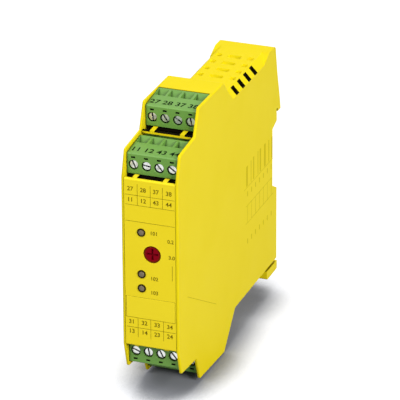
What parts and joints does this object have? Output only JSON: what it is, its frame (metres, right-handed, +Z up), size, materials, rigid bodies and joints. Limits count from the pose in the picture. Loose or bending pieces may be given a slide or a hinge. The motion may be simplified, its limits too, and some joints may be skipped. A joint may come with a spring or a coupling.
{
  "type": "safety relay",
  "caption": "Slim DIN rail safety relay with plug-in screw terminals in stepped rows, a delay dial, status lamps, a vented roof and a spring foot latch.",
  "frame": {"origin": "centre of the mounting rail's 35 mm height and of the housing's width, on the plane where the housing seats on the rail's flanges", "axes": "+X to the right seen from the front and along the rail, +Y back towards the rail, +Z up"},
  "size_m": [0.0226, 0.1148, 0.1137],
  "materials": {
    "yellow_housing": "fine matte moulding",
    "yellow_front": "smooth satin panel",
    "green_terminal": "satin polyamide",
    "plated_steel": "zinc plated",
    "tinned_brass": "tin plated",
    "spring_steel": "bright wire",
    "marker_plastic": "writable marker strip",
    "clear_lens": "smoked clear",
    "red_dial": "satin",
    "circuit_board": "solder mask",
    "black_plastic": "moulded",
    "blue_plastic": "moulded",
    "relay_plastic": "moulded",
    "aluminium_can": "drawn can"
  },
  "bodies": {
    "housing": {"housing_shell": "yellow_housing", "side_cover": "yellow_housing", "front_plate": "yellow_front", "marker_plate": "marker_plastic", "light_pipes": "clear_lens", "control_board": "circuit_board", "indicator_leds": "black_plastic", "potentiometer": "blue_plastic", "relays": "relay_plastic", "storage_capacitors": "aluminium_can", "controller_chips": "black_plastic", "header_pins": "tinned_brass", "header_upper_front": "green_terminal", "header_upper_rear": "green_terminal", "header_lower_front": "green_terminal", "header_lower_rear": "green_terminal", "latch_spring": "spring_steel"},
    "dial": {"delay_dial": "red_dial"},
    "latch": {"foot_latch": "yellow_housing"},
    "plug_upper_front": {"plug_upper_front": "green_terminal", "plug_contacts_upper_front": "tinned_brass"},
    "screw_upper_front_1": {"screw_upper_front_1": "plated_steel"},
    "clamp_upper_front_1": {"clamp_upper_front_1": "plated_steel"},
    "screw_upper_front_2": {"screw_upper_front_2": "plated_steel"},
    "clamp_upper_front_2": {"clamp_upper_front_2": "plated_steel"},
    "screw_upper_front_3": {"screw_upper_front_3": "plated_steel"},
    "clamp_upper_front_3": {"clamp_upper_front_3": "plated_steel"},
    "screw_upper_front_4": {"screw_upper_front_4": "plated_steel"},
    "clamp_upper_front_4": {"clamp_upper_front_4": "plated_steel"},
    "plug_upper_rear": {"plug_upper_rear": "green_terminal", "plug_contacts_upper_rear": "tinned_brass"},
    "screw_upper_rear_1": {"screw_upper_rear_1": "plated_steel"},
    "clamp_upper_rear_1": {"clamp_upper_rear_1": "plated_steel"},
    "screw_upper_rear_2": {"screw_upper_rear_2": "plated_steel"},
    "clamp_upper_rear_2": {"clamp_upper_rear_2": "plated_steel"},
    "screw_upper_rear_3": {"screw_upper_rear_3": "plated_steel"},
    "clamp_upper_rear_3": {"clamp_upper_rear_3": "plated_steel"},
    "screw_upper_rear_4": {"screw_upper_rear_4": "plated_steel"},
    "clamp_upper_rear_4": {"clamp_upper_rear_4": "plated_steel"},
    "plug_lower_front": {"plug_lower_front": "green_terminal", "plug_contacts_lower_front": "tinned_brass"},
    "screw_lower_front_1": {"screw_lower_front_1": "plated_steel"},
    "clamp_lower_front_1": {"clamp_lower_front_1": "plated_steel"},
    "screw_lower_front_2": {"screw_lower_front_2": "plated_steel"},
    "clamp_lower_front_2": {"clamp_lower_front_2": "plated_steel"},
    "screw_lower_front_3": {"screw_lower_front_3": "plated_steel"},
    "clamp_lower_front_3": {"clamp_lower_front_3": "plated_steel"},
    "screw_lower_front_4": {"screw_lower_front_4": "plated_steel"},
    "clamp_lower_front_4": {"clamp_lower_front_4": "plated_steel"},
    "plug_lower_rear": {"plug_lower_rear": "green_terminal", "plug_contacts_lower_rear": "tinned_brass"},
    "screw_lower_rear_1": {"screw_lower_rear_1": "plated_steel"},
    "clamp_lower_rear_1": {"clamp_lower_rear_1": "plated_steel"},
    "screw_lower_rear_2": {"screw_lower_rear_2": "plated_steel"},
    "clamp_lower_rear_2": {"clamp_lower_rear_2": "plated_steel"},
    "screw_lower_rear_3": {"screw_lower_rear_3": "plated_steel"},
    "clamp_lower_rear_3": {"clamp_lower_rear_3": "plated_steel"},
    "screw_lower_rear_4": {"screw_lower_rear_4": "plated_steel"},
    "clamp_lower_rear_4": {"clamp_lower_rear_4": "plated_steel"}
  },
  "joints": [
    {"name": "dial_turn", "type": "hinge", "parent": "housing", "child": "dial", "pos_m": [0.0008, -0.1097, 0.0014], "axis": [0, 1, 0], "range_deg": [-140, 140]},
    {"name": "latch_slide", "type": "slide", "parent": "housing", "child": "latch", "axis": [0, 0, -1], "range_m": [0, 0.0045], "stiffness_N_per_m": 2000, "springref_m": -0.002, "deforming": ["latch_spring"]},
    {"name": "plug_upper_front_slide", "type": "slide", "parent": "housing", "child": "plug_upper_front", "axis": [0, -1, 0], "range_m": [0, 0.012]},
    {"name": "screw_upper_front_1_turn", "type": "hinge", "parent": "plug_upper_front", "child": "screw_upper_front_1", "pos_m": [-0.00762, -0.1066, 0.0352], "axis": [0, 1, 0], "range_deg": [0, 1350]},
    {"name": "clamp_upper_front_1_slide", "type": "slide", "parent": "plug_upper_front", "child": "clamp_upper_front_1", "axis": [0, -1, 0], "range_m": [0, 0.0017]},
    {"name": "screw_upper_front_2_turn", "type": "hinge", "parent": "plug_upper_front", "child": "screw_upper_front_2", "pos_m": [-0.00254, -0.1066, 0.0352], "axis": [0, 1, 0], "range_deg": [0, 1350]},
    {"name": "clamp_upper_front_2_slide", "type": "slide", "parent": "plug_upper_front", "child": "clamp_upper_front_2", "axis": [0, -1, 0], "range_m": [0, 0.0017]},
    {"name": "screw_upper_front_3_turn", "type": "hinge", "parent": "plug_upper_front", "child": "screw_upper_front_3", "pos_m": [0.00254, -0.1066, 0.0352], "axis": [0, 1, 0], "range_deg": [0, 1350]},
    {"name": "clamp_upper_front_3_slide", "type": "slide", "parent": "plug_upper_front", "child": "clamp_upper_front_3", "axis": [0, -1, 0], "range_m": [0, 0.0017]},
    {"name": "screw_upper_front_4_turn", "type": "hinge", "parent": "plug_upper_front", "child": "screw_upper_front_4", "pos_m": [0.00762, -0.1066, 0.0352], "axis": [0, 1, 0], "range_deg": [0, 1350]},
    {"name": "clamp_upper_front_4_slide", "type": "slide", "parent": "plug_upper_front", "child": "clamp_upper_front_4", "axis": [0, -1, 0], "range_m": [0, 0.0017]},
    {"name": "plug_upper_rear_slide", "type": "slide", "parent": "housing", "child": "plug_upper_rear", "axis": [0, -1, 0], "range_m": [0, 0.012]},
    {"name": "screw_upper_rear_1_turn", "type": "hinge", "parent": "plug_upper_rear", "child": "screw_upper_rear_1", "pos_m": [-0.00762, -0.0869, 0.04645], "axis": [0, 1, 0], "range_deg": [0, 1350]},
    {"name": "clamp_upper_rear_1_slide", "type": "slide", "parent": "plug_upper_rear", "child": "clamp_upper_rear_1", "axis": [0, -1, 0], "range_m": [0, 0.0017]},
    {"name": "screw_upper_rear_2_turn", "type": "hinge", "parent": "plug_upper_rear", "child": "screw_upper_rear_2", "pos_m": [-0.00254, -0.0869, 0.04645], "axis": [0, 1, 0], "range_deg": [0, 1350]},
    {"name": "clamp_upper_rear_2_slide", "type": "slide", "parent": "plug_upper_rear", "child": "clamp_upper_rear_2", "axis": [0, -1, 0], "range_m": [0, 0.0017]},
    {"name": "screw_upper_rear_3_turn", "type": "hinge", "parent": "plug_upper_rear", "child": "screw_upper_rear_3", "pos_m": [0.00254, -0.0869, 0.04645], "axis": [0, 1, 0], "range_deg": [0, 1350]},
    {"name": "clamp_upper_rear_3_slide", "type": "slide", "parent": "plug_upper_rear", "child": "clamp_upper_rear_3", "axis": [0, -1, 0], "range_m": [0, 0.0017]},
    {"name": "screw_upper_rear_4_turn", "type": "hinge", "parent": "plug_upper_rear", "child": "screw_upper_rear_4", "pos_m": [0.00762, -0.0869, 0.04645], "axis": [0, 1, 0], "range_deg": [0, 1350]},
    {"name": "clamp_upper_rear_4_slide", "type": "slide", "parent": "plug_upper_rear", "child": "clamp_upper_rear_4", "axis": [0, -1, 0], "range_m": [0, 0.0017]},
    {"name": "plug_lower_front_slide", "type": "slide", "parent": "housing", "child": "plug_lower_front", "axis": [0, -1, 0], "range_m": [0, 0.012]},
    {"name": "screw_lower_front_1_turn", "type": "hinge", "parent": "plug_lower_front", "child": "screw_lower_front_1", "pos_m": [-0.00762, -0.1066, -0.0414], "axis": [0, 1, 0], "range_deg": [0, 1350]},
    {"name": "clamp_lower_front_1_slide", "type": "slide", "parent": "plug_lower_front", "child": "clamp_lower_front_1", "axis": [0, -1, 0], "range_m": [0, 0.0017]},
    {"name": "screw_lower_front_2_turn", "type": "hinge", "parent": "plug_lower_front", "child": "screw_lower_front_2", "pos_m": [-0.00254, -0.1066, -0.0414], "axis": [0, 1, 0], "range_deg": [0, 1350]},
    {"name": "clamp_lower_front_2_slide", "type": "slide", "parent": "plug_lower_front", "child": "clamp_lower_front_2", "axis": [0, -1, 0], "range_m": [0, 0.0017]},
    {"name": "screw_lower_front_3_turn", "type": "hinge", "parent": "plug_lower_front", "child": "screw_lower_front_3", "pos_m": [0.00254, -0.1066, -0.0414], "axis": [0, 1, 0], "range_deg": [0, 1350]},
    {"name": "clamp_lower_front_3_slide", "type": "slide", "parent": "plug_lower_front", "child": "clamp_lower_front_3", "axis": [0, -1, 0], "range_m": [0, 0.0017]},
    {"name": "screw_lower_front_4_turn", "type": "hinge", "parent": "plug_lower_front", "child": "screw_lower_front_4", "pos_m": [0.00762, -0.1066, -0.0414], "axis": [0, 1, 0], "range_deg": [0, 1350]},
    {"name": "clamp_lower_front_4_slide", "type": "slide", "parent": "plug_lower_front", "child": "clamp_lower_front_4", "axis": [0, -1, 0], "range_m": [0, 0.0017]},
    {"name": "plug_lower_rear_slide", "type": "slide", "parent": "housing", "child": "plug_lower_rear", "axis": [0, -1, 0], "range_m": [0, 0.012]},
    {"name": "screw_lower_rear_1_turn", "type": "hinge", "parent": "plug_lower_rear", "child": "screw_lower_rear_1", "pos_m": [-0.00762, -0.0869, -0.05265], "axis": [0, 1, 0], "range_deg": [0, 1350]},
    {"name": "clamp_lower_rear_1_slide", "type": "slide", "parent": "plug_lower_rear", "child": "clamp_lower_rear_1", "axis": [0, -1, 0], "range_m": [0, 0.0017]},
    {"name": "screw_lower_rear_2_turn", "type": "hinge", "parent": "plug_lower_rear", "child": "screw_lower_rear_2", "pos_m": [-0.00254, -0.0869, -0.05265], "axis": [0, 1, 0], "range_deg": [0, 1350]},
    {"name": "clamp_lower_rear_2_slide", "type": "slide", "parent": "plug_lower_rear", "child": "clamp_lower_rear_2", "axis": [0, -1, 0], "range_m": [0, 0.0017]},
    {"name": "screw_lower_rear_3_turn", "type": "hinge", "parent": "plug_lower_rear", "child": "screw_lower_rear_3", "pos_m": [0.00254, -0.0869, -0.05265], "axis": [0, 1, 0], "range_deg": [0, 1350]},
    {"name": "clamp_lower_rear_3_slide", "type": "slide", "parent": "plug_lower_rear", "child": "clamp_lower_rear_3", "axis": [0, -1, 0], "range_m": [0, 0.0017]},
    {"name": "screw_lower_rear_4_turn", "type": "hinge", "parent": "plug_lower_rear", "child": "screw_lower_rear_4", "pos_m": [0.00762, -0.0869, -0.05265], "axis": [0, 1, 0], "range_deg": [0, 1350]},
    {"name": "clamp_lower_rear_4_slide", "type": "slide", "parent": "plug_lower_rear", "child": "clamp_lower_rear_4", "axis": [0, -1, 0], "range_m": [0, 0.0017]}
  ],
  "couplings": [
    {"joint": "clamp_upper_front_1_slide", "follows": "screw_upper_front_1_turn", "m_per_rad": 0.00007162},
    {"joint": "clamp_upper_front_2_slide", "follows": "screw_upper_front_2_turn", "m_per_rad": 0.00007162},
    {"joint": "clamp_upper_front_3_slide", "follows": "screw_upper_front_3_turn", "m_per_rad": 0.00007162},
    {"joint": "clamp_upper_front_4_slide", "follows": "screw_upper_front_4_turn", "m_per_rad": 0.00007162},
    {"joint": "clamp_upper_rear_1_slide", "follows": "screw_upper_rear_1_turn", "m_per_rad": 0.00007162},
    {"joint": "clamp_upper_rear_2_slide", "follows": "screw_upper_rear_2_turn", "m_per_rad": 0.00007162},
    {"joint": "clamp_upper_rear_3_slide", "follows": "screw_upper_rear_3_turn", "m_per_rad": 0.00007162},
    {"joint": "clamp_upper_rear_4_slide", "follows": "screw_upper_rear_4_turn", "m_per_rad": 0.00007162},
    {"joint": "clamp_lower_front_1_slide", "follows": "screw_lower_front_1_turn", "m_per_rad": 0.00007162},
    {"joint": "clamp_lower_front_2_slide", "follows": "screw_lower_front_2_turn", "m_per_rad": 0.00007162},
    {"joint": "clamp_lower_front_3_slide", "follows": "screw_lower_front_3_turn", "m_per_rad": 0.00007162},
    {"joint": "clamp_lower_front_4_slide", "follows": "screw_lower_front_4_turn", "m_per_rad": 0.00007162},
    {"joint": "clamp_lower_rear_1_slide", "follows": "screw_lower_rear_1_turn", "m_per_rad": 0.00007162},
    {"joint": "clamp_lower_rear_2_slide", "follows": "screw_lower_rear_2_turn", "m_per_rad": 0.00007162},
    {"joint": "clamp_lower_rear_3_slide", "follows": "screw_lower_rear_3_turn", "m_per_rad": 0.00007162},
    {"joint": "clamp_lower_rear_4_slide", "follows": "screw_lower_rear_4_turn", "m_per_rad": 0.00007162}
  ]
}
